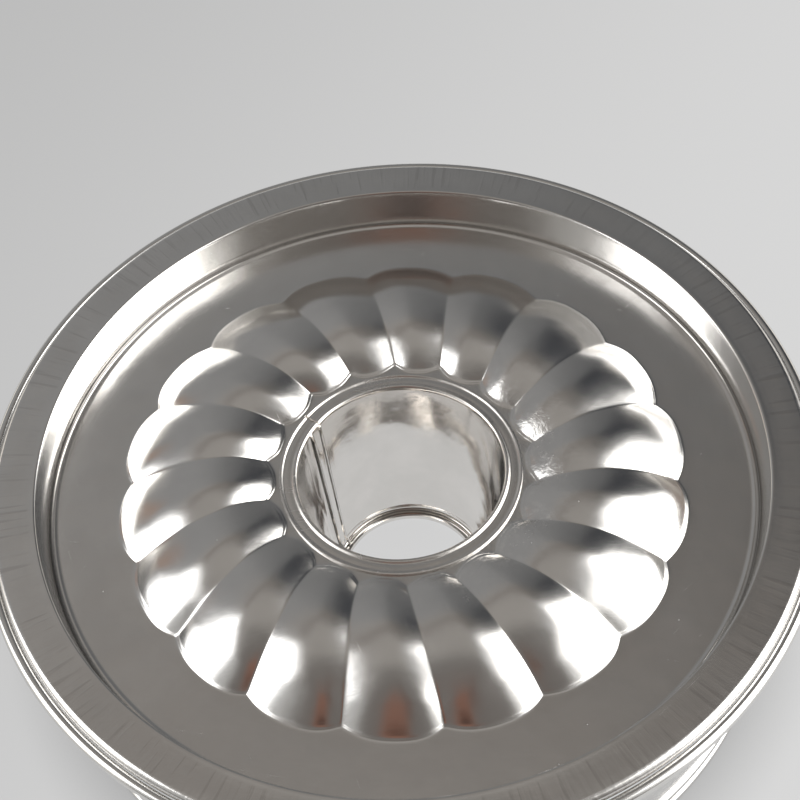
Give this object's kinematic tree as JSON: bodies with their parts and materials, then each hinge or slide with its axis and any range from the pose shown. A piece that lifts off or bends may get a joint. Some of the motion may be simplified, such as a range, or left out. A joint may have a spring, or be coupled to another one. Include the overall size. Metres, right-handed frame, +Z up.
{
  "type": "bundt pan",
  "caption": "Round springform bundt pan: a fluted tube base lies underside-up on a conical ring with rolled edges and a toggle latch.",
  "frame": {"origin": "on the table plane, on the axis of the ring, which is the middle of the bounding box's bottom face to within the latch's overhang", "axes": "+Z up along the axis of the ring and the tube; -Y towards the latch; +X to the right when facing the latch, towards the catch bracket"},
  "size_m": [0.2696, 0.2731, 0.071],
  "materials": {
    "tinplate": "bright tinplate, drawn and slightly worn, fine scratches",
    "band_tin": "bright tinplate strip, rolled, streaky reflections",
    "wire_steel": "plain drawn steel wire",
    "latch_steel": "tin-plated pressed steel",
    "rivet_steel": "plated rivets and pins"
  },
  "bodies": {
    "ring_left": {"side_band_left": "band_tin", "rim_wire_left": "wire_steel", "lever_bracket": "latch_steel", "lever_pivot_upper": "rivet_steel", "lever_pivot_lower": "rivet_steel", "lever_bracket_rivet_1": "rivet_steel", "lever_bracket_rivet_2": "rivet_steel", "lever_bracket_rivet_3": "rivet_steel", "lever_bracket_rivet_4": "rivet_steel"},
    "ring_right": {"side_band_right": "band_tin", "rim_wire_right": "wire_steel", "catch_bracket": "latch_steel", "catch_bracket_rivet_1": "rivet_steel", "catch_bracket_rivet_2": "rivet_steel", "catch_bracket_rivet_3": "rivet_steel", "catch_bracket_rivet_4": "rivet_steel"},
    "tube_base": {"fluted_base": "tinplate", "chimney_tube": "tinplate"},
    "lever": {"latch_lever": "latch_steel", "link_pin": "rivet_steel"},
    "link": {"latch_link": "latch_steel", "catch_pin": "rivet_steel"}
  },
  "joints": [
    {"name": "tube_base_lift", "type": "slide", "parent": "ring_left", "child": "tube_base", "axis": [0, 0, 1], "range_m": [0, 0.1]},
    {"name": "latch_lever_hinge", "type": "hinge", "parent": "ring_left", "child": "lever", "pos_m": [-0.014, -0.13113, 0.0329], "axis": [0, -0.1842, 0.9829], "range_deg": [0, 100]},
    {"name": "latch_link_hinge", "type": "hinge", "parent": "lever", "child": "link", "pos_m": [-0.02, -0.13113, 0.0329], "axis": [0, -0.1842, 0.9829], "range_deg": [-92, 1]},
    {"name": "band_flex", "type": "hinge", "parent": "ring_left", "child": "ring_right", "pos_m": [0, 0.135, 0], "axis": [0, 0, 1], "range_deg": [0, 1.42]}
  ],
  "couplings": [
    {"joint": "latch_link_hinge", "follows": "latch_lever_hinge", "ratio": -0.9055},
    {"joint": "band_flex", "follows": "latch_lever_hinge", "ratio": 0.0141}
  ]
}
